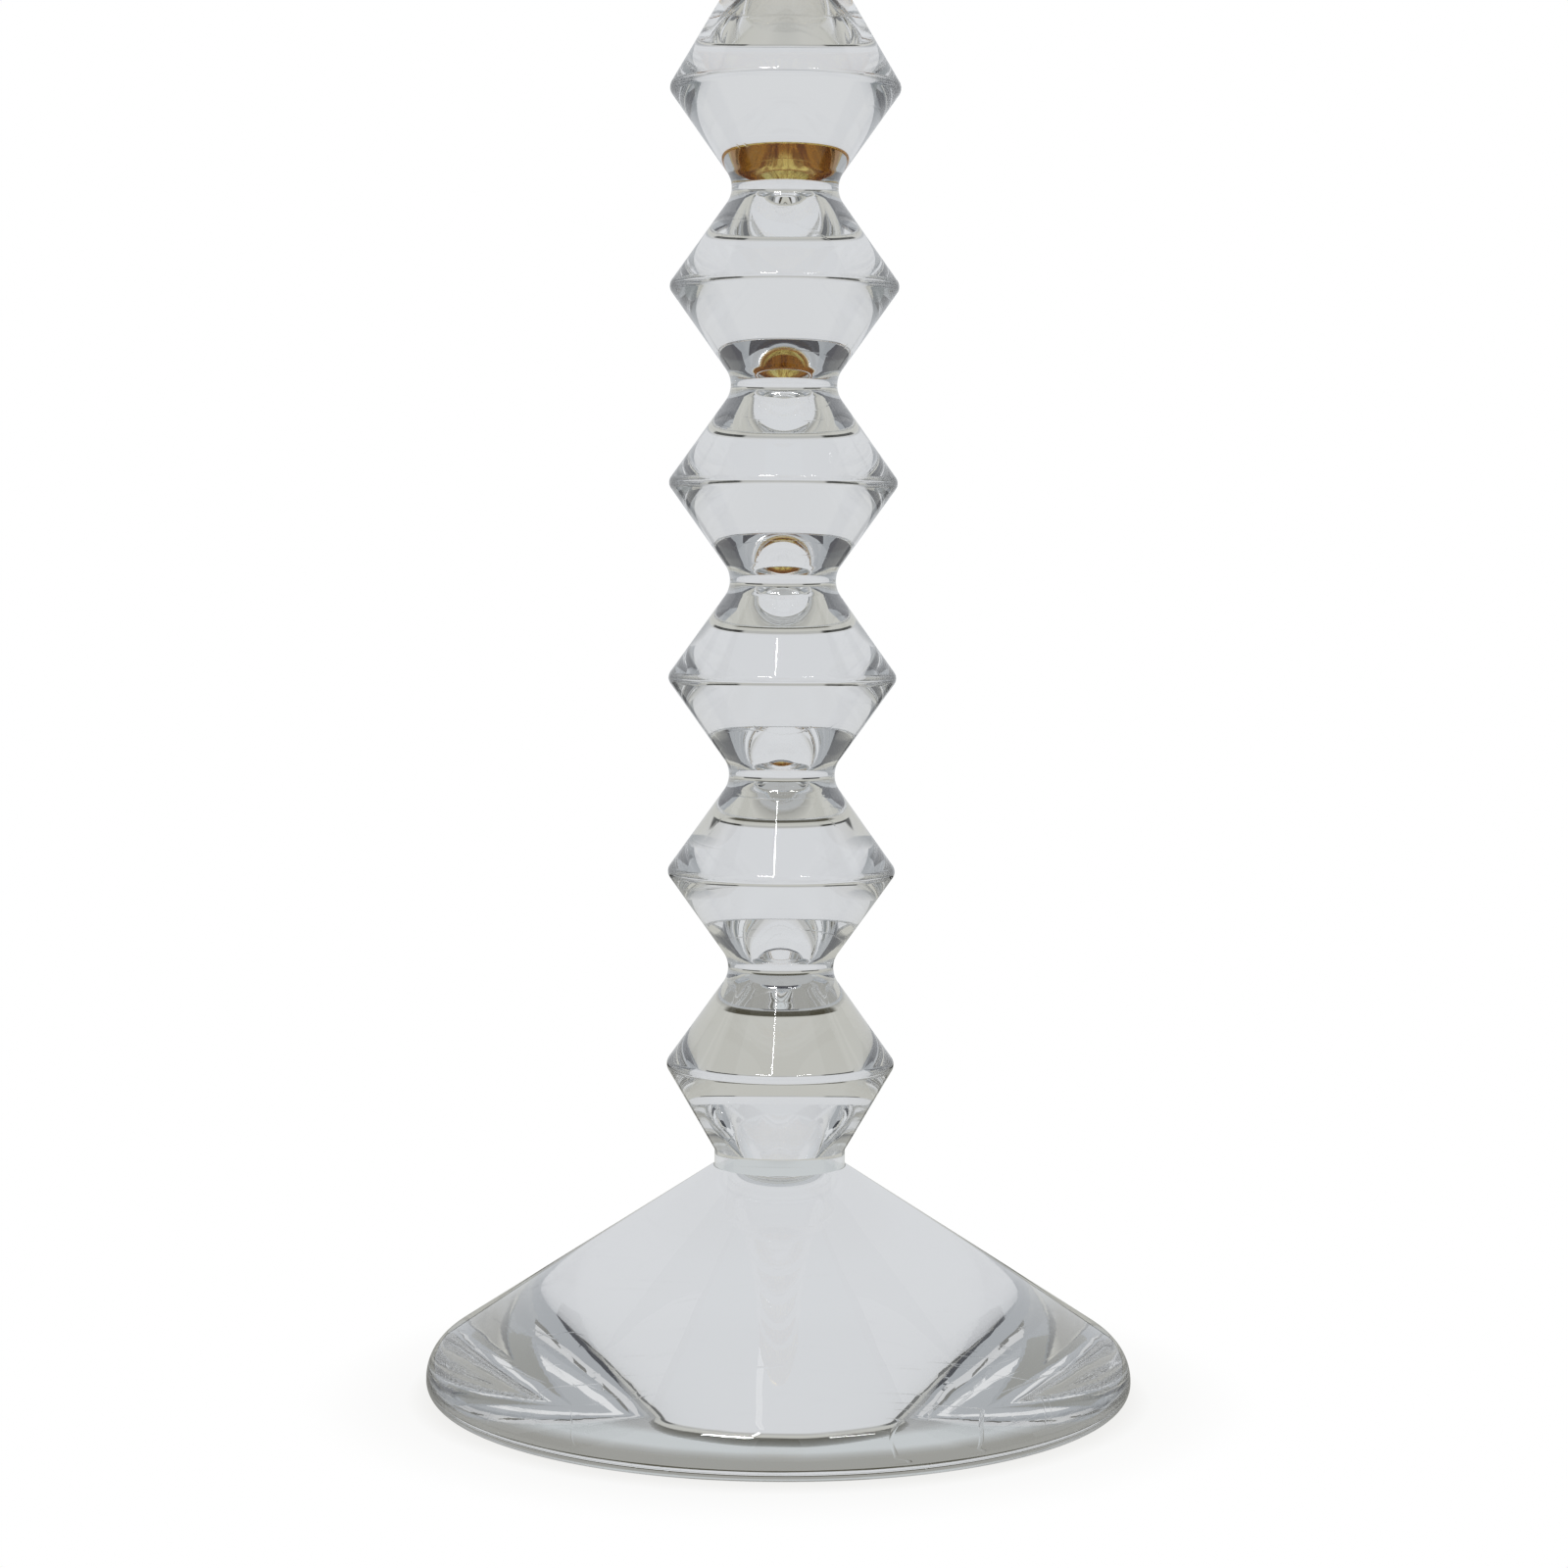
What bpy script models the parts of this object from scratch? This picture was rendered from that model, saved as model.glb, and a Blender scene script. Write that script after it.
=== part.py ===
"""Turned crystal candlestick: a solid conical foot, a stem of six double-cone beads and, on top of
them, a gilt-brass candle cup with a drip pan. The glass pieces are bonded end to end, and the cup
sits on a short tenon. Metres, +Z up, origin at the centre of the foot's underside."""

import math

import bmesh
import bpy

# Driving dimensions, metres. Every piece is a solid of revolution about the Z axis.
SEGMENTS = 48  # flat facets round each piece
BOND_GAP = 0.0003  # between two pieces bonded face to face

FOOT_R = 0.0627
FOOT_TOP_R = 0.0118
FOOT_HEIGHT = 0.0405
FOOT_CONE_SLOPE = 1.523  # radius gained per unit of height lost
FOOT_SHOULDER = 0.0072  # rounding between the cone and the rim
FOOT_HEEL = 0.0030  # rounding between the rim and the underside

BEAD_COUNT = 6
BEAD_PITCH = 0.03425
LOWEST_BEAD_Z = 0.0589  # height of the lowest bead's widest line
BEAD_R = 0.0205  # where the two cones would meet if the edge were sharp
BEAD_EDGE = 0.0018  # rounding of that edge
NECK_R = 0.00935
NECK_HEIGHT = 0.0030
NECK_FILLET = 0.0040
STEM_BOTTOM_R = 0.0116  # the lowest bead's wide end, on the foot
STEM_BOTTOM_BAND = 0.0029
STEM_TOP_R = 0.0106  # the highest bead's shoulder, under the candle cup
STEM_TOP_BAND = 0.0004
TENON_R = 0.0100  # the short post above that shoulder, bonded into the candle cup
TENON_HEIGHT = 0.0040

CUP_HEIGHT = 0.0300
CUP_UNDERSIDE_R = 0.0150  # flat, on the stem's shoulder
CUP_FLOOR = 0.0065  # from the cup's underside to the bottom of the candle bore
CANDLE_BORE_R = 0.0114
SOCKET_R = 0.0127
LIP_R = 0.0141
LIP_HEIGHT = 0.0018
PAN_R = 0.0205
PAN_UNDERSIDE_RISE = 0.0046  # from the flat underside up to the rim
PAN_RIM = 0.0030  # height of the pan's upright rim
PAN_RIM_WIDTH = 0.0018
PAN_DEPTH = 0.0018


def clear_scene():
    for obj in list(bpy.data.objects):
        bpy.data.objects.remove(obj, do_unlink=True)


def crystal():
    material = bpy.data.materials.new("crystal")
    material.use_nodes = True
    shader = material.node_tree.nodes["Principled BSDF"]
    shader.inputs["Base Color"].default_value = (0.955, 0.965, 0.970, 1.0)
    shader.inputs["Roughness"].default_value = 0.02
    shader.inputs["Metallic"].default_value = 0.0
    shader.inputs["IOR"].default_value = 1.545
    shader.inputs["Transmission Weight"].default_value = 1.0
    return material


def gilt_brass():
    material = bpy.data.materials.new("gilt_brass")
    material.use_nodes = True
    shader = material.node_tree.nodes["Principled BSDF"]
    shader.inputs["Base Color"].default_value = (0.830, 0.600, 0.230, 1.0)
    shader.inputs["Roughness"].default_value = 0.22
    shader.inputs["Metallic"].default_value = 1.0
    return material


def rounded(corners, steps=4):
    """The outline through corners (r, z, rounding), with an arc in place of each rounded one."""
    outline = []
    for i, (r, z, rounding) in enumerate(corners):
        if not rounding:
            outline.append((r, z))
            continue
        before, after = corners[i - 1], corners[i + 1]
        back = math.atan2(before[1] - z, before[0] - r)
        ahead = math.atan2(after[1] - z, after[0] - r)
        half = ((ahead - back) % math.tau) / 2
        middle = back + half
        if half > math.pi / 2:
            half, middle = math.pi - half, middle + math.pi
        reach = rounding / math.sin(half)
        centre_r, centre_z = r + reach * math.cos(middle), z + reach * math.sin(middle)
        turn = math.pi / 2 - half
        first = middle + math.pi
        side = 1 if math.sin(back - first) < 0 else -1
        for step in range(steps + 1):
            angle = first + side * turn * (2 * step / steps - 1)
            outline.append(
                (centre_r + rounding * math.cos(angle), centre_z + rounding * math.sin(angle))
            )
    return outline


def turned(name, outline, z, material):
    """A closed solid turned from an outline that runs up its outer side, axis to axis."""
    shape = bmesh.new()
    rings = []
    for r, height in outline:
        if r < 1e-7:
            rings.append([shape.verts.new((0.0, 0.0, height))])
            continue
        angles = [math.tau * k / SEGMENTS for k in range(SEGMENTS)]
        rings.append(
            [shape.verts.new((r * math.cos(a), r * math.sin(a), height)) for a in angles]
        )
    for low, high in zip(rings, rings[1:]):
        for k in range(SEGMENTS):
            after = (k + 1) % SEGMENTS
            if len(low) == 1:
                shape.faces.new((low[0], high[after], high[k]))
            elif len(high) == 1:
                shape.faces.new((low[k], low[after], high[0]))
            else:
                shape.faces.new((low[k], low[after], high[after], high[k]))
    mesh = bpy.data.meshes.new(name)
    shape.to_mesh(mesh)
    shape.free()
    mesh.shade_smooth()
    mesh.set_sharp_from_angle(angle=math.radians(35))
    mesh.materials.append(material)
    obj = bpy.data.objects.new(name, mesh)
    obj.location = (0.0, 0.0, z)
    bpy.context.scene.collection.objects.link(obj)
    return obj


def make_foot(material):
    rim_z = FOOT_HEIGHT - (FOOT_R - FOOT_TOP_R) / FOOT_CONE_SLOPE
    outline = rounded(
        [
            (0.0, 0.0, 0),
            (FOOT_R, 0.0, FOOT_HEEL),
            (FOOT_R, rim_z, FOOT_SHOULDER),
            (FOOT_TOP_R, FOOT_HEIGHT, 0),
            (0.0, FOOT_HEIGHT, 0),
        ],
        steps=6,
    )
    return turned("foot", outline, 0.0, material)


def bead_outline(low, high, tenon=()):
    """A double cone about z = 0. Each end is (distance to its face, radius, band, fillet), and
    tenon is the radius and height of a post on the high end."""
    low_face, low_r, low_band, low_fillet = low
    high_face, high_r, high_band, high_fillet = high
    corners = [
        (0.0, -low_face, 0),
        (low_r, -low_face, 0),
        (low_r, low_band - low_face, low_fillet),
        (BEAD_R, 0.0, BEAD_EDGE),
        (high_r, high_face - high_band, high_fillet),
        (high_r, high_face, 0),
    ]
    if tenon:
        post_r, post_height = tenon
        corners += [(post_r, high_face, 0), (post_r, high_face + post_height, 0)]
    corners.append((0.0, corners[-1][1], 0))
    return rounded(corners)


def make_beads(material):
    half_gap = BOND_GAP / 2
    neck = (BEAD_PITCH / 2 - half_gap, NECK_R, NECK_HEIGHT / 2 - half_gap, NECK_FILLET)
    on_foot = (
        LOWEST_BEAD_Z - FOOT_HEIGHT - BOND_GAP,
        STEM_BOTTOM_R,
        STEM_BOTTOM_BAND,
        0,
    )
    under_cup = (BEAD_PITCH / 2 - half_gap, STEM_TOP_R, STEM_TOP_BAND, 0)
    beads = []
    for number in range(1, BEAD_COUNT + 1):
        low = on_foot if number == 1 else neck
        highest = number == BEAD_COUNT
        high = under_cup if highest else neck
        tenon = (TENON_R, TENON_HEIGHT) if highest else ()
        z = LOWEST_BEAD_Z + BEAD_PITCH * (number - 1)
        outline = bead_outline(low, high, tenon)
        beads.append(turned(f"stem_bead_{number}", outline, z, material))
    return beads


def stem_top():
    return LOWEST_BEAD_Z + BEAD_PITCH * (BEAD_COUNT - 0.5) - BOND_GAP / 2


def make_candle_cup(material):
    """A turned cup: a pocket for the stem's tenon, a drip pan, and the candle's socket above."""
    pocket_r = TENON_R + BOND_GAP
    rim_z = PAN_UNDERSIDE_RISE
    pan_z = rim_z + PAN_RIM - PAN_DEPTH
    lip_z = CUP_HEIGHT - LIP_HEIGHT
    outline = rounded(
        [
            (0.0, TENON_HEIGHT, 0),
            (pocket_r, TENON_HEIGHT, 0),
            (pocket_r, 0.0, 0),
            (CUP_UNDERSIDE_R, 0.0, 0.0010),
            (PAN_R, rim_z, 0.0016),
            (PAN_R, rim_z + PAN_RIM, 0.0007),
            (PAN_R - PAN_RIM_WIDTH, rim_z + PAN_RIM, 0.0006),
            (PAN_R - PAN_RIM_WIDTH - 0.0006, pan_z, 0.0007),
            (SOCKET_R, pan_z, 0.0009),
            (SOCKET_R, lip_z, 0.0007),
            (LIP_R, lip_z, 0.0006),
            (LIP_R, CUP_HEIGHT, 0.0007),
            (CANDLE_BORE_R, CUP_HEIGHT, 0.0007),
            (CANDLE_BORE_R, CUP_FLOOR, 0.0006),
            (0.0, CUP_FLOOR, 0),
        ],
        steps=3,
    )
    return turned("candle_cup", outline, stem_top() + BOND_GAP, material)


def main():
    clear_scene()
    glass = crystal()
    make_foot(glass)
    make_beads(glass)
    make_candle_cup(gilt_brass())


main()
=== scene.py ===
"""Turned crystal candlestick on a pale floor. The crystal is lit by, and mirrors, a studio of pale
panels, dark flags and strip lamps that the camera doesn't see. Metres, +Z up."""

import math

import bmesh
import bpy
from mathutils import Matrix, Vector


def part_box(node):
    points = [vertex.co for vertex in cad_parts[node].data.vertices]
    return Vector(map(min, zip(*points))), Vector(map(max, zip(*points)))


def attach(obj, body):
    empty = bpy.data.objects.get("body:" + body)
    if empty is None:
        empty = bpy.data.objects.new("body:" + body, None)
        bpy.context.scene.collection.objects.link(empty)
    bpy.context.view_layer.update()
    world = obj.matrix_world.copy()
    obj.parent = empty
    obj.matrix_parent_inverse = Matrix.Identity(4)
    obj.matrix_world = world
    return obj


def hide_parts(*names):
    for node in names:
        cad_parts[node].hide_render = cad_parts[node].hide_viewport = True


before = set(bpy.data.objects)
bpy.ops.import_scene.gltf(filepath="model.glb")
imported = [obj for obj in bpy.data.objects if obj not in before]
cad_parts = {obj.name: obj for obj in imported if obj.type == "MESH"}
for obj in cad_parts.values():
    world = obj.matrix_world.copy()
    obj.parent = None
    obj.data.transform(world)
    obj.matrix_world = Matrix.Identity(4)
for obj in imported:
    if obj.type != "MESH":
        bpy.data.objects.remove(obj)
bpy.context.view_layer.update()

# ---- shape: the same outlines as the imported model, turned more finely ----
SEGMENTS = 256
ARC_STEPS = 14
SHARP_ANGLE = math.radians(20)  # an edge that bends more than this stays sharp
BOND_GAP = 0.0003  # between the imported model's pieces
BOND_BITE = 0.0003  # how far the gilding stands into the glass, so that no air shows between

FOOT_TOP_R = 0.0118
FOOT_CONE_SLOPE = 1.523  # radius gained per unit of height lost
FOOT_SHOULDER = 0.0072  # rounding between the cone and the rim
FOOT_HEEL = 0.0030  # rounding between the rim and the underside

BEADS = ["stem_bead_%d" % n for n in range(1, 7)]
BEAD_R = 0.0205  # where a bead's two cones would meet if the edge were sharp
BEAD_EDGE = 0.0018  # rounding of that edge
NECK = (0.00935, 0.0015, 0.00465)  # an end's radius, upright band, and fillet above the band
FOOT_END = (0.0116, 0.0029, 0)  # the same at the foot
CUP_END = (0.0106, 0.0004, 0)  # the same at the candle cup
TENON_R = 0.0100  # the post that the candle cup is bonded on
TENON_HEIGHT = 0.0040

CUP_UNDERSIDE_R = 0.0150
CUP_FLANGE_R = 0.0135  # the amber gilt, darkened as painted shade, on the cup's underside ends here
CUP_FLOOR = 0.0065  # from the cup's underside to the bottom of the candle bore
CANDLE_BORE_R = 0.0114
SOCKET_R = 0.0127
LIP_R = 0.0141
LIP_HEIGHT = 0.0018
PAN_UNDERSIDE_RISE = 0.0046
PAN_RIM = 0.0030
PAN_RIM_WIDTH = 0.0018
PAN_RIM_SLANT = 0.0006  # how far the inside of the rim leans in at its foot
PAN_DEPTH = 0.0018

# ---- materials ----
CRYSTAL_IOR = 1.545
WAVE_HEIGHT = 0.00007  # slow unevenness of the pressed crystal
RUB_HEIGHT = 0.000004  # fine marks left on the crystal by rubbing
RUB_ROUGHNESS = 0.16
TURNING_HEIGHT = 0.000006  # rings left on the brass by turning
GILT_ROUGHNESS = (0.16, 0.34)
LEAF_PAINTED_HIGHLIGHT = (1.0, 0.86, 0.32)  # painted highlight: the brighter colour on one side of the gold leaf

# ---- studio ----
DOME_R = 3.0
DOME_CENTRE_Z = 0.13
SURROUNDINGS = (0.34, 0.36, 0.38)  # wherever the dome has no card
# Cards and panels of the studio, as patches of the dome round the object. Each has a name, its
# reach in azimuth (degrees from the middle of the backdrop, and the same on both sides), its
# reach in elevation, and its colour. Four azimuths are the reach at the bottom, then at the top.
CARDS = [
    ("backdrop", (0, 52), (-12, 50), (0.675, 0.69, 0.71)),
    ("backdrop_top", (0, 50), (50, 66), (0.50, 0.52, 0.54)),
    ("upper_box", (50, 81), (38, 66), (0.70, 0.72, 0.74)),
    ("side_low", (66, 90), (-6, 10), (0.27, 0.275, 0.26)),
    ("side_panel_inner", (52, 77, 52, 70), (12, 38), (0.38, 0.40, 0.42)),
    ("side_panel_outer", (83, 88, 74, 78), (12, 38), (0.38, 0.40, 0.42)),
    ("side_glint", (77, 83, 70, 74), (12, 38), (0.72, 0.73, 0.74)),
    ("side_stripe", (92, 97, 80, 86), (12, 40), (0.58, 0.59, 0.60)),
    ("thin_flag", (98, 101, 79, 81), (12, 36), (0.16, 0.16, 0.15)),
    ("slanted_flag", (107, 116, 85, 116), (20, 44), (0.02, 0.022, 0.03)),
    ("upper_flag", (84, 116), (44, 52), (0.02, 0.022, 0.03)),
    ("front_panel", (116, 172), (12, 52), (0.40, 0.42, 0.44)),
    ("front_low", (128, 172), (-8, 12), (0.12, 0.125, 0.135)),
    ("camera_low", (172, 180), (-3, 12), (0.10, 0.10, 0.11)),
    ("camera_high", (172, 180), (25, 50), (0.05, 0.05, 0.06)),
    ("ceiling", (0, 180), (68, 90), (0.41, 0.46, 0.49)),
]
CARD_STEP = 6  # degrees between the points of a card's grid
# Lamps, as straight strips: the two ends as (azimuth, elevation) seen from the dome's centre, then
# the width in metres and the strength. Outer surfaces mirror them, but they don't show through
# the crystal.
LAMP_DISTANCE = 1.6
LAMPS = [
    ("ridge_lamp", (-169, 50), (-147, 53), 0.10, 75.0),
    ("line_lamp", (-168, 56), (-168, 67), 0.02, 45.0),
    ("side_lamp", (138, 52), (158, 50), 0.05, 30.0),
    ("overhead_lamp", (-165, 76), (-11, 73), 0.03, 1.6),
]

# ---- floor ----
FLOOR_Z = -0.0002
FLOOR_HALF_SIZE = (1.3, 0.85)
# The table that the crystal sees, as colours at distances from the axis. The part under the foot
# shows through the flat underside: it has painted shadow of the foot, darkest under the rim and
# fading out to the table's beige, with a painted ring of light inside it.
TABLE_TONES_AND_PAINTED_LIGHT = [
    (0.033, (0.42, 0.43, 0.43)),
    (0.037, (0.57, 0.60, 0.61)),
    (0.045, (0.57, 0.60, 0.61)),
    (0.049, (0.43, 0.44, 0.43)),
    (0.053, (0.33, 0.33, 0.31)),
    (0.064, (0.33, 0.33, 0.31)),
    (0.140, (0.53, 0.53, 0.49)),
]
TABLE_TONES_REACH = 0.2  # the last tone holds from here outwards too
TABLE_EDGE = [(0.40, 0), (0.42, 1)]  # how far off the ground takes over, to the left and right
GROUND = (0.22, 0.24, 0.25)
SWEEP = [(0.25, 0), (0.80, 1)]  # how far back the table turns into the foot of the backdrop
SWEEP_COLOUR = (0.64, 0.65, 0.665)
# Dark cards that lie on the table and have soft edges. Each has (angle, strength) stops, where the
# angle is away from straight behind in half turns, (distance, strength) stops, and its colour.
SIDE_CARDS = (
    [(0.36, 0), (0.39, 1), (0.50, 1), (0.53, 0)],
    [(0.075, 0), (0.10, 1)],
    (0.13, 0.135, 0.14),
)
NEAR_CARD = (
    [(0.13, 1), (0.15, 0)],
    [(0.076, 0), (0.082, 1), (0.19, 1), (0.205, 0)],
    (0.06, 0.055, 0.035),
)
REAR_CARD = (
    [(0.085, 0.22), (0.095, 1), (0.195, 1), (0.205, 0)],
    [(0.35, 0), (0.37, 1), (0.58, 1), (0.62, 0)],
    (0.03, 0.03, 0.025),
)
# What the camera sees: white, with a faint shadow round the foot, at distances from the axis.
CONTACT_SHADOW = [(0.060, (0.84, 0.835, 0.82)), (0.066, (0.95, 0.95, 0.945)), (0.084, (1, 1, 1))]

# ---- camera ----
SENSOR_WIDTH = 36.0  # millimetres, as is the lens
LENS = 76.2075
CAMERA_PLACE = (0.0004, -0.5858, 0.1485)
CAMERA_TILT = 0.068  # radians down from level
CAMERA_ROLL = 0.0057  # radians


# ---------------------------------------------------------------- node helpers
def new_material(name):
    material = bpy.data.materials.new(name)
    material.use_nodes = True
    tree = material.node_tree
    return material, tree, tree.nodes["Principled BSDF"]


def add_node(tree, kind, **inputs):
    node = tree.nodes.new(kind)
    for key, value in inputs.items():
        node.inputs[key].default_value = value
    return node


def calculate(tree, operation, first, second=None):
    """One Math node. second is a number or a node's output."""
    node = tree.nodes.new("ShaderNodeMath")
    node.operation = operation
    tree.links.new(first, node.inputs[0])
    if isinstance(second, float):
        node.inputs[1].default_value = second
    elif second is not None:
        tree.links.new(second, node.inputs[1])
    return node.outputs[0]


def noise(tree, scale, detail=3.0, roughness=0.5, stretch=(1, 1, 1), turn=(0, 0, 0)):
    """Noise over object coordinates that are scaled along each axis and then turned."""
    coordinates = tree.nodes.new("ShaderNodeTexCoord")
    mapping = add_node(tree, "ShaderNodeMapping", Scale=stretch, Rotation=turn)
    texture = add_node(tree, "ShaderNodeTexNoise", Scale=scale, Detail=detail, Roughness=roughness)
    tree.links.new(coordinates.outputs["Object"], mapping.inputs["Vector"])
    tree.links.new(mapping.outputs["Vector"], texture.inputs["Vector"])
    return texture.outputs["Fac"]


def remap(tree, value, low, high, to_low=0.0, to_high=1.0):
    node = tree.nodes.new("ShaderNodeMapRange")
    ends = {"From Min": low, "From Max": high, "To Min": to_low, "To Max": to_high}
    for key, number in ends.items():
        node.inputs[key].default_value = number
    tree.links.new(value, node.inputs["Value"])
    return node.outputs["Result"]


def colour_ramp(tree, value, stops):
    ramp = tree.nodes.new("ShaderNodeValToRGB")
    elements = ramp.color_ramp.elements
    while len(elements) > 1:
        elements.remove(elements[-1])
    for i, (position, colour) in enumerate(stops):
        element = elements[0] if i == 0 else elements.new(position)
        element.position = position
        element.color = (*colour, 1.0)
    tree.links.new(value, ramp.inputs["Fac"])
    return ramp.outputs["Color"]


def mask(tree, value, stops):
    """A factor that runs through (value, strength) stops."""
    return colour_ramp(tree, value, [(at, (strength,) * 3) for at, strength in stops])


def mix_colours(tree, factor, first, second):
    """A mix of two colours, each of them plain or a node's output."""
    node = tree.nodes.new("ShaderNodeMix")
    node.data_type = "RGBA"
    tree.links.new(factor, node.inputs["Factor"])
    for key, colour in zip("AB", (first, second)):
        if isinstance(colour, tuple):
            node.inputs[key].default_value = (*colour, 1.0)
        else:
            tree.links.new(colour, node.inputs[key])
    return node.outputs["Result"]


def place_of(tree):
    """The point's own X, Y and Z."""
    coordinates = tree.nodes.new("ShaderNodeTexCoord")
    split = tree.nodes.new("ShaderNodeSeparateXYZ")
    tree.links.new(coordinates.outputs["Object"], split.inputs[0])
    return split.outputs


def bump(tree, height, distance, before=None):
    node = add_node(tree, "ShaderNodeBump", Distance=distance)
    tree.links.new(height, node.inputs["Height"])
    if before is not None:
        tree.links.new(before, node.inputs["Normal"])
    return node.outputs["Normal"]


# ---------------------------------------------------------------- materials
def streaks(tree, turn, scale, low, high):
    """Thin marks: the peaks of a strongly stretched noise. turn picks other parts of the noise."""
    return remap(tree, noise(tree, scale, 1.0, 0.4, (1.0, 22.0, 1.6), turn), low, high)


def crystal():
    """Clear crystal, pressed and fire-polished: slow waves and a few rubbing marks."""
    material, tree, shader = new_material("crystal")
    shader.inputs["Base Color"].default_value = (1.0, 1.0, 1.0, 1.0)
    shader.inputs["IOR"].default_value = CRYSTAL_IOR
    shader.inputs["Transmission Weight"].default_value = 1.0
    waves = bump(tree, noise(tree, scale=52.0, detail=1.5), WAVE_HEIGHT)
    marks = streaks(tree, (0.4, 0.2, 0.9), 62.0, 0.70, 0.78)
    more_marks = streaks(tree, (1.3, 0.7, 2.2), 55.0, 0.72, 0.80)
    rubs = calculate(tree, "MAXIMUM", marks, more_marks)
    tree.links.new(bump(tree, rubs, RUB_HEIGHT, before=waves), shader.inputs["Normal"])
    roughness = remap(tree, rubs, 0.0, 1.0, 0.0, RUB_ROUGHNESS)
    tree.links.new(roughness, shader.inputs["Roughness"])
    return material


def bond():
    """A clear adhesive joint between two pieces of crystal: light goes straight through it."""
    material, tree, shader = new_material("clear_bond")
    tree.nodes.remove(shader)
    clear = tree.nodes.new("ShaderNodeBsdfTransparent")
    tree.links.new(clear.outputs["BSDF"], tree.nodes["Material Output"].inputs["Surface"])
    return material


def gilt_brass(name, grain, grain_scale, dull, bright, leaf=False):
    """Gilt brass. grain is the depth of its surface texture, and leaf is for a face that is gilded
    with gold leaf: wrinkled all one way, with a painted highlight on one side."""
    material, tree, shader = new_material(name)
    shader.inputs["Metallic"].default_value = 1.0
    fine = noise(tree, grain_scale, 3.0, 0.6, stretch=(1, 0.07, 1) if leaf else (1, 1, 1))
    if leaf:
        colour = mix_colours(tree, remap(tree, fine, 0.38, 0.56), dull, bright)
        # painted highlight: a brighter gold laid over one side of the leaf, across X
        across = remap(tree, place_of(tree)["X"], -TENON_R, TENON_R)
        patch = mask(tree, across, [(0.69, 0), (0.77, 1), (0.86, 1), (0.92, 0)])
        colour = mix_colours(tree, patch, colour, LEAF_PAINTED_HIGHLIGHT)
    else:
        cloudy = noise(tree, 130.0, 3.0, 0.6, stretch=(1, 1, 0.5))
        colour = mix_colours(tree, remap(tree, cloudy, 0.32, 0.68), dull, bright)
    tree.links.new(colour, shader.inputs["Base Color"])
    tree.links.new(remap(tree, fine, 0.3, 0.7, *GILT_ROUGHNESS), shader.inputs["Roughness"])
    rings = noise(tree, scale=260.0, detail=1.0, stretch=(0.02, 0.02, 12.0))
    turned_finish = bump(tree, rings, TURNING_HEIGHT)
    tree.links.new(bump(tree, fine, grain, before=turned_finish), shader.inputs["Normal"])
    return material


# ---------------------------------------------------------------- turned shapes
def rounded(corners):
    """The outline through corners (r, z, rounding), with an arc in place of each rounded one."""
    outline = []
    for i, (r, z, rounding) in enumerate(corners):
        if not rounding:
            outline.append((r, z))
            continue
        before, after = corners[i - 1], corners[i + 1]
        back = math.atan2(before[1] - z, before[0] - r)
        ahead = math.atan2(after[1] - z, after[0] - r)
        half = ((ahead - back) % math.tau) / 2
        middle = back + half
        if half > math.pi / 2:
            half, middle = math.pi - half, middle + math.pi
        reach = rounding / math.sin(half)
        centre_r, centre_z = r + reach * math.cos(middle), z + reach * math.sin(middle)
        turn = math.pi / 2 - half
        first = middle + math.pi
        side = 1 if math.sin(back - first) < 0 else -1
        for step in range(ARC_STEPS + 1):
            angle = first + side * turn * (2 * step / ARC_STEPS - 1)
            outline.append(
                (centre_r + rounding * math.cos(angle), centre_z + rounding * math.sin(angle))
            )
    return outline


def turned(name, outline, materials, first=(), last=()):
    """A closed solid turned from an outline. first and last give the material numbers of the
    first and the last bands between its points, and the bands between them take material 0."""
    shape = bmesh.new()
    angles = [math.tau * k / SEGMENTS for k in range(SEGMENTS)]
    rings = []
    for r, z in outline:
        if r < 1e-7:
            rings.append([shape.verts.new((0.0, 0.0, z))])
        else:
            points = [(r * math.cos(a), r * math.sin(a), z) for a in angles]
            rings.append([shape.verts.new(point) for point in points])
    plain = len(rings) - 1 - len(first) - len(last)
    numbers = [*first, *[0] * plain, *last]
    for number, low, high in zip(numbers, rings, rings[1:]):
        for k in range(SEGMENTS):
            after = (k + 1) % SEGMENTS
            if len(low) == 1:
                face = shape.faces.new((low[0], high[after], high[k]))
            elif len(high) == 1:
                face = shape.faces.new((low[k], low[after], high[0]))
            else:
                face = shape.faces.new((low[k], low[after], high[after], high[k]))
            face.material_index = number
    mesh = bpy.data.meshes.new(name)
    shape.to_mesh(mesh)
    shape.free()
    mesh.shade_smooth()
    mesh.set_sharp_from_angle(angle=SHARP_ANGLE)
    for material in materials:
        mesh.materials.append(material)
    obj = bpy.data.objects.new(name, mesh)
    bpy.context.scene.collection.objects.link(obj)
    return obj


def joint_z(below, above):
    """The height of the bond between two nodes, half-way across their gap."""
    return (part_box(below)[1][2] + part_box(above)[0][2]) / 2


def cup_joint_z():
    """The same at the candle cup, whose box starts half a gap above the bond."""
    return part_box("candle_cup")[0][2] - BOND_GAP / 2


def make_foot(materials):
    foot_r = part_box("foot")[1][0]
    top = joint_z("foot", BEADS[0])
    rim_z = top - (foot_r - FOOT_TOP_R) / FOOT_CONE_SLOPE
    outline = rounded(
        [
            (0.0, 0.0, 0),
            (foot_r, 0.0, FOOT_HEEL),
            (foot_r, rim_z, FOOT_SHOULDER),
            (FOOT_TOP_R, top, 0),
            (0.0, top, 0),
        ]
    )
    foot = turned("crystal_foot", outline, materials, last=(1,))
    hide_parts("foot")
    return foot


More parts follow.
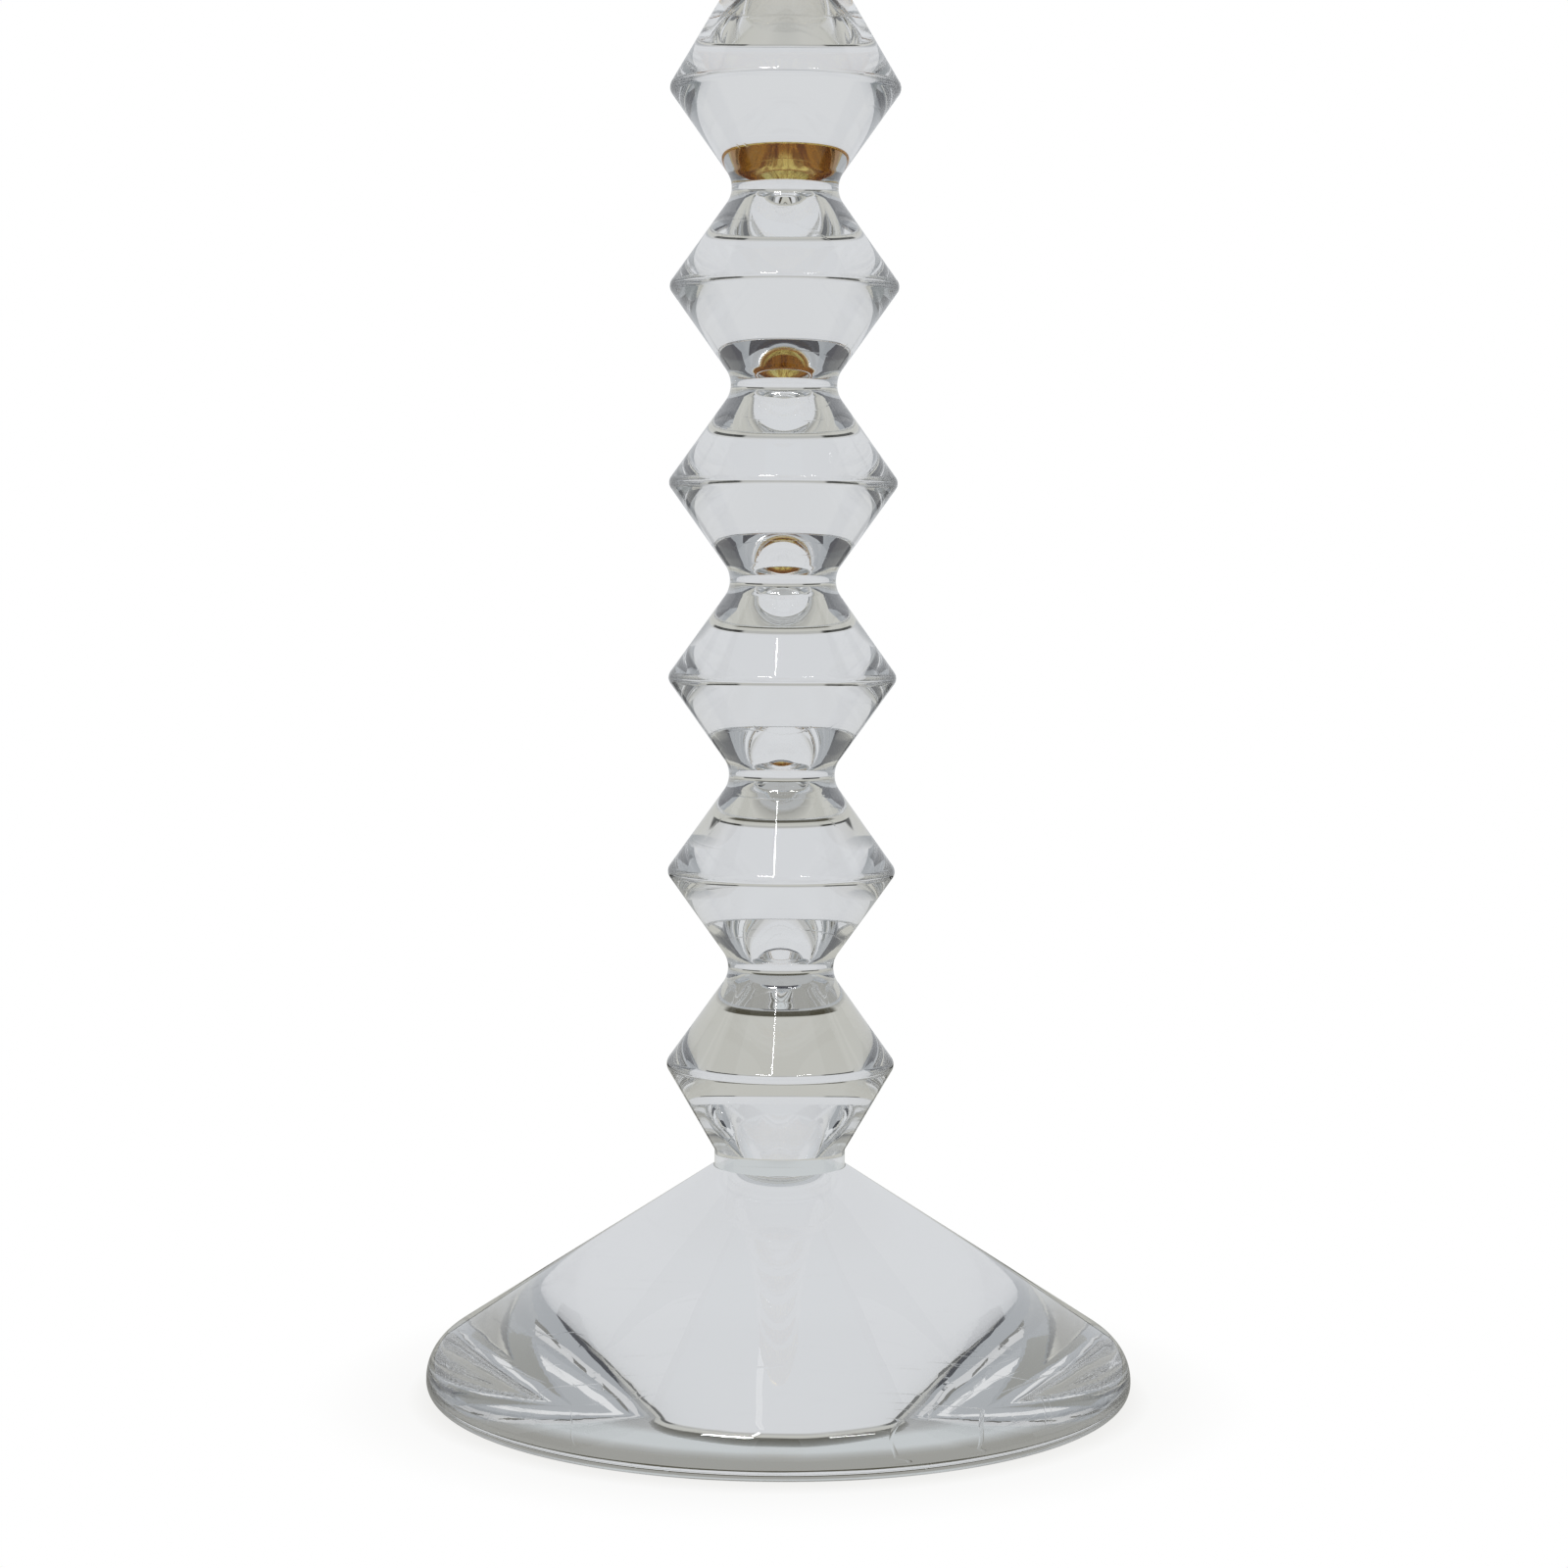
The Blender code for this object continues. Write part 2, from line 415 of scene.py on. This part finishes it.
def make_bead(number, materials):
    """A bead from the bottom up, counted from 0. The last one carries the cup's tenon."""
    name = BEADS[number]
    lowest, highest = number == 0, number == len(BEADS) - 1
    low_z = joint_z("foot" if lowest else BEADS[number - 1], name)
    high_z = cup_joint_z() if highest else joint_z(name, BEADS[number + 1])
    half_pitch = (joint_z(BEADS[1], BEADS[2]) - joint_z(BEADS[0], BEADS[1])) / 2
    widest = high_z - half_pitch if lowest else low_z + half_pitch
    low_r, low_band, low_fillet = FOOT_END if lowest else NECK
    high_r, high_band, high_fillet = CUP_END if highest else NECK
    corners = [
        (0.0, low_z, 0),
        (low_r, low_z, 0),
        (low_r, low_z + low_band, low_fillet),
        (BEAD_R, widest, BEAD_EDGE),
        (high_r, high_z - high_band, high_fillet),
        (high_r, high_z, 0),
    ]
    bonded_above = (1,)
    if highest:
        corners += [(TENON_R, high_z, 0), (TENON_R, high_z + TENON_HEIGHT, 0)]
        bonded_above = (1, 1, 1)
    corners.append((0.0, corners[-1][1], 0))
    outline = rounded(corners)
    bead = turned("crystal_bead_%d" % (number + 1), outline, materials, (1,), bonded_above)
    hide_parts(name)
    return bead


def make_cup(materials):
    """The candle cup: a pocket for the tenon, a drip pan, and the candle's socket above."""
    low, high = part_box("candle_cup")
    top, pan_r = high[2], high[0]
    base = cup_joint_z()
    pocket_r, pocket_top = TENON_R - BOND_BITE, base + TENON_HEIGHT - BOND_BITE
    rim_z = low[2] + PAN_UNDERSIDE_RISE
    pan_z = rim_z + PAN_RIM - PAN_DEPTH
    rim_inner_r = pan_r - PAN_RIM_WIDTH
    floor_z = low[2] + CUP_FLOOR
    outline = rounded(
        [
            (0.0, pocket_top, 0),
            (pocket_r, pocket_top, 0),
            (pocket_r, base, 0),
            (CUP_FLANGE_R, base, 0),
            (CUP_UNDERSIDE_R, base, 0.0010),
            (pan_r, rim_z, 0.0016),
            (pan_r, rim_z + PAN_RIM, 0.0007),
            (rim_inner_r, rim_z + PAN_RIM, 0.0006),
            (rim_inner_r - PAN_RIM_SLANT, pan_z, 0.0007),
            (SOCKET_R, pan_z, 0.0009),
            (SOCKET_R, top - LIP_HEIGHT, 0.0007),
            (LIP_R, top - LIP_HEIGHT, 0.0006),
            (LIP_R, top, 0.0007),
            (CANDLE_BORE_R, top, 0.0007),
            (CANDLE_BORE_R, floor_z, 0.0006),
            (0.0, floor_z, 0),
        ]
    )
    # The pocket's wall and the flat underside round it take material 2: gilt darkened and reddened
    # as painted shade.
    cup = turned("gilt_candle_cup", outline, materials, first=(1, 2, 2))
    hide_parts("candle_cup")
    return cup


# ---------------------------------------------------------------- studio
def stage_mesh(name, points, faces, material):
    """A piece of the studio that casts no shadow."""
    mesh = bpy.data.meshes.new(name)
    mesh.from_pydata(points, [], faces)
    mesh.materials.append(material)
    obj = bpy.data.objects.new(name, mesh)
    bpy.context.scene.collection.objects.link(obj)
    obj.visible_shadow = False
    return obj


def glow_material(name, colour=(1, 1, 1), strength=1.0, sampling="NONE"):
    material, tree, shader = new_material(name)
    tree.nodes.remove(shader)
    glow = add_node(tree, "ShaderNodeEmission", Color=(*colour, 1.0), Strength=strength)
    tree.links.new(glow.outputs[0], tree.nodes["Material Output"].inputs["Surface"])
    material.cycles.emission_sampling = sampling
    return material


def seen_by_camera(tree, direct, other):
    """One shader for what the camera sees directly, another for light that reaches the crystal."""
    path = tree.nodes.new("ShaderNodeLightPath")
    mix = tree.nodes.new("ShaderNodeMixShader")
    tree.links.new(path.outputs["Is Camera Ray"], mix.inputs["Fac"])
    tree.links.new(other, mix.inputs[1])
    tree.links.new(direct, mix.inputs[2])
    return mix.outputs["Shader"]


def on_dome(azimuth, elevation, distance=DOME_R):
    """The point at these angles (degrees) round the dome's centre, from the backdrop's middle."""
    across, up = math.radians(azimuth), math.radians(elevation)
    return (
        distance * math.sin(across) * math.cos(up),
        distance * math.cos(across) * math.cos(up),
        DOME_CENTRE_Z + distance * math.sin(up),
    )


def make_card(name, azimuths, elevations, colour):
    """A patch of the dome on either side of the backdrop's middle, which the camera looks past."""
    steps_round = max(2, int((azimuths[1] - azimuths[0]) / CARD_STEP))
    steps_up = max(2, int((elevations[1] - elevations[0]) / CARD_STEP))
    at_bottom, at_top = azimuths[:2], azimuths[-2:]
    points, faces = [], []
    for side in (-1, 1):
        start = len(points)
        for i in range(steps_up + 1):
            share = i / steps_up
            elevation = elevations[0] + (elevations[1] - elevations[0]) * share
            inner, outer = (low + (high - low) * share for low, high in zip(at_bottom, at_top))
            for j in range(steps_round + 1):
                azimuth = inner + (outer - inner) * j / steps_round
                points.append(on_dome(side * azimuth, elevation))
        width = steps_round + 1
        for i in range(steps_up):
            for j in range(steps_round):
                k = start + i * width + j
                faces.append((k, k + 1, k + 1 + width, k + width))
    card = stage_mesh("card_" + name, points, faces, glow_material(name, colour))
    card.visible_camera = False


def make_lamp(name, start, end, width, strength):
    """A straight strip that faces the object. It is seen as a mirror image in outer surfaces, not
    through the crystal."""
    start, end = Vector(on_dome(*start, LAMP_DISTANCE)), Vector(on_dome(*end, LAMP_DISTANCE))
    towards = (start + end) / 2 - Vector((0, 0, DOME_CENTRE_Z))
    side = (end - start).cross(towards).normalized() * width / 2
    points = [tuple(p) for p in (start - side, start + side, end + side, end - side)]
    material = glow_material(name, strength=strength, sampling="FRONT_BACK")
    lamp = stage_mesh(name, points, [(0, 1, 2, 3)], material)
    lamp.visible_camera = False
    lamp.visible_transmission = False


def lay_card(tree, table, away, radius, card):
    """The table's colour with a dark card on it."""
    angles, distances, colour = card
    covered = calculate(tree, "MULTIPLY", mask(tree, away, angles), mask(tree, radius, distances))
    return mix_colours(tree, covered, table, colour)


def table_colour(tree, radius):
    """The table that the crystal sees, with painted shadow and a painted ring of light round the
    foot, its dark cards and the backdrop's foot behind it.
    """
    x, y, _ = place_of(tree)
    turn = calculate(tree, "ARCTAN2", x, y)
    away = calculate(tree, "DIVIDE", calculate(tree, "ABSOLUTE", turn), math.pi)
    near = remap(tree, radius, 0.0, TABLE_TONES_REACH)
    # painted shadow of the foot and a painted ring of light under it, then the table's own beige
    tones_and_painted_light = [(distance / TABLE_TONES_REACH, colour) for distance, colour in TABLE_TONES_AND_PAINTED_LIGHT]
    table = lay_card(tree, colour_ramp(tree, near, tones_and_painted_light), away, radius, SIDE_CARDS)
    past_edge = mask(tree, calculate(tree, "ABSOLUTE", x), TABLE_EDGE)
    table = mix_colours(tree, past_edge, table, GROUND)
    table = mix_colours(tree, mask(tree, y, SWEEP), table, SWEEP_COLOUR)
    table = lay_card(tree, table, away, radius, NEAR_CARD)
    return lay_card(tree, table, away, radius, REAR_CARD)


def make_floor():
    """A pale floor. The camera sees it white, and in the crystal it shows as a beige table."""
    material, tree, shader = new_material("pale_floor")
    tree.nodes.remove(shader)
    material.cycles.emission_sampling = "NONE"
    coordinates = tree.nodes.new("ShaderNodeTexCoord")
    length = tree.nodes.new("ShaderNodeVectorMath")
    length.operation = "LENGTH"
    tree.links.new(coordinates.outputs["Object"], length.inputs[0])
    radius = length.outputs["Value"]
    table = add_node(tree, "ShaderNodeEmission", Strength=1.0)
    tree.links.new(table_colour(tree, radius), table.inputs["Color"])
    white = add_node(tree, "ShaderNodeEmission", Strength=1.0)
    tree.links.new(colour_ramp(tree, radius, CONTACT_SHADOW), white.inputs["Color"])
    surface = seen_by_camera(tree, white.outputs[0], table.outputs[0])
    tree.links.new(surface, tree.nodes["Material Output"].inputs["Surface"])
    w, d = FLOOR_HALF_SIZE
    points = [(-w, -d, FLOOR_Z), (w, -d, FLOOR_Z), (w, d, FLOOR_Z), (-w, d, FLOOR_Z)]
    stage_mesh("floor", points, [(0, 1, 2, 3)], material)


def make_world():
    world = bpy.data.worlds.new("studio")
    bpy.context.scene.world = world
    world.use_nodes = True
    tree = world.node_tree
    around = tree.nodes["Background"]
    around.inputs["Color"].default_value = (*SURROUNDINGS, 1.0)
    white = add_node(tree, "ShaderNodeBackground", Color=(1, 1, 1, 1), Strength=1.0)
    surface = seen_by_camera(tree, white.outputs[0], around.outputs[0])
    tree.links.new(surface, tree.nodes["World Output"].inputs["Surface"])


def make_studio():
    make_floor()
    make_world()
    for card in CARDS:
        make_card(*card)
    for lamp in LAMPS:
        make_lamp(*lamp)


def make_camera():
    camera = bpy.data.cameras.new("camera")
    camera.sensor_width = SENSOR_WIDTH
    camera.lens = LENS
    obj = bpy.data.objects.new("camera", camera)
    obj.location = CAMERA_PLACE
    tilt = Matrix.Rotation(math.pi / 2 - CAMERA_TILT, 3, "X")
    obj.rotation_euler = (tilt @ Matrix.Rotation(CAMERA_ROLL, 3, "Z")).to_euler()
    bpy.context.scene.collection.objects.link(obj)
    bpy.context.scene.camera = obj


def set_bounces_and_view():
    """Enough bounces for light to cross all the beads, and a view that keeps colours as they are."""
    scene = bpy.context.scene
    scene.view_settings.view_transform = "Standard"
    scene.view_settings.look = "None"
    scene.cycles.max_bounces = 40
    scene.cycles.transmission_bounces = 36
    scene.cycles.glossy_bounces = 16
    scene.cycles.transparent_max_bounces = 48
    scene.cycles.caustics_reflective = True
    scene.cycles.caustics_refractive = True


glass = [crystal(), bond()]
gilt = [
    gilt_brass("gilt_brass", 0.00001, 900.0, (0.66, 0.44, 0.13), (0.90, 0.67, 0.28)),
    gilt_brass("gilt_pocket", 0.00006, 1400.0, (0.44, 0.25, 0.045), (1.0, 0.80, 0.24), leaf=True),
    # painted shade: a darker, redder copy of the gilt for the pocket's wall and the underside round
    # it
    gilt_brass("gilt_painted_shade", 0.00002, 1300.0, (0.44, 0.19, 0.05), (0.74, 0.40, 0.11)),
]
pieces = [make_foot(glass)] + [make_bead(n, glass) for n in range(len(BEADS))]
for piece in pieces:
    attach(piece, "root")
cup = make_cup(gilt)
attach(cup, "root")

make_studio()
make_camera()
set_bounces_and_view()
